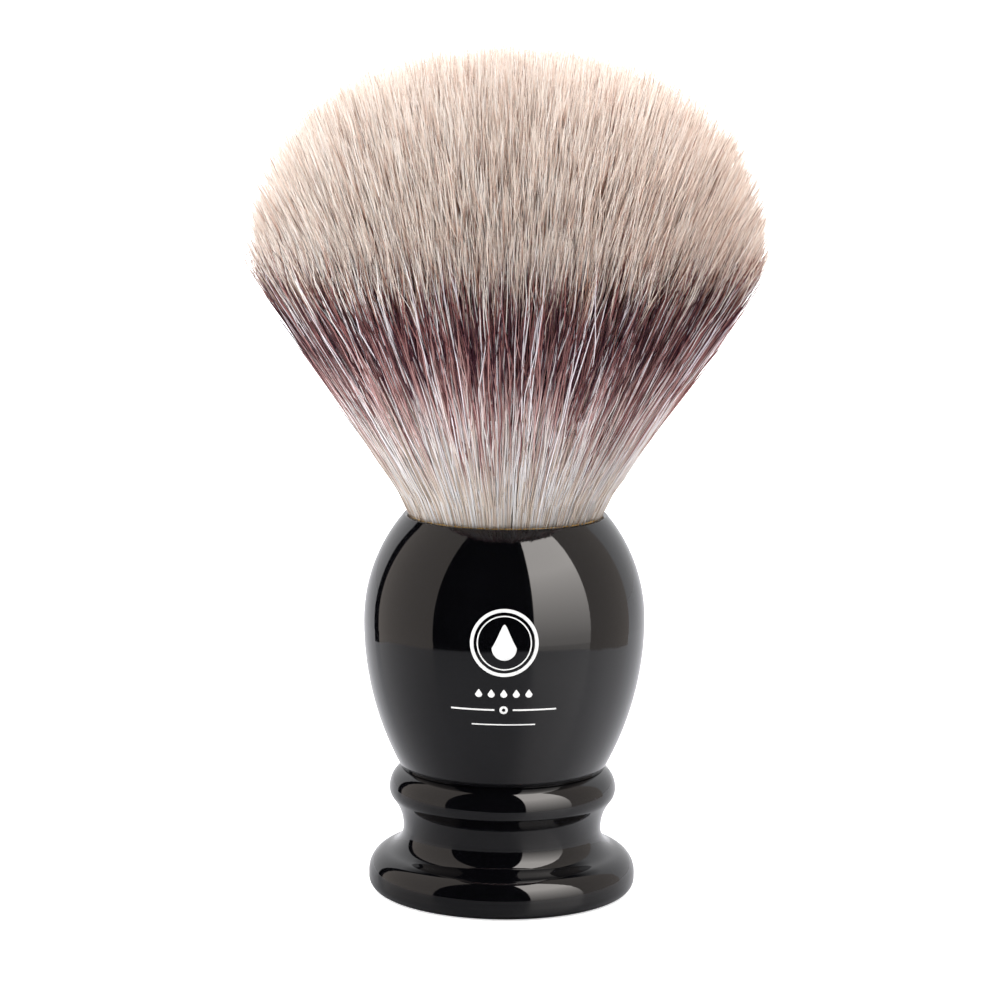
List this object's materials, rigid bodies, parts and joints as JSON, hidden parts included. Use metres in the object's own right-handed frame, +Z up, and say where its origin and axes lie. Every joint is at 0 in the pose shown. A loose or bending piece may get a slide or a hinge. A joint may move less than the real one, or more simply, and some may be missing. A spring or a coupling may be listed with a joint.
{
  "type": "shaving brush",
  "caption": "Shaving brush: a turned gloss resin handle with bulb, bead and spreading foot, and a flared knot of banded synthetic fibre that bends at its mouth.",
  "frame": {"origin": "centre of the ring under the foot that the brush stands on", "axes": "+Z up along the handle's axis to the fibre tips, -Y towards the printed front of the bulb"},
  "size_m": [0.0626, 0.0626, 0.105],
  "materials": {
    "handle_resin": "hand-polished black cast resin",
    "adhesive": "clear amber cured epoxy",
    "ring_plastic": "moulded natural plastic",
    "binding_thread": "waxed polyester thread",
    "knot_fibre": "fine synthetic fibre, pale grey at the root, dark aubergine band, ivory tip"
  },
  "bodies": {
    "handle": {"handle_foot": "handle_resin", "handle_bulb": "handle_resin", "joint_adhesive": "adhesive", "setting_adhesive": "adhesive", "knot_ring": "ring_plastic", "knot_plug": "adhesive", "tie_thread": "binding_thread", "fibre_roots": "knot_fibre"},
    "fibre_head": {"fibre_bloom": "knot_fibre"}
  },
  "joints": [
    {"name": "knot_flex", "type": "hinge", "parent": "handle", "child": "fibre_head", "pos_m": [0, 0, 0.04748], "axis": [0, 1, 0], "range_deg": [-25, 25], "stiffness_Nm_per_rad": 0.2}
  ]
}
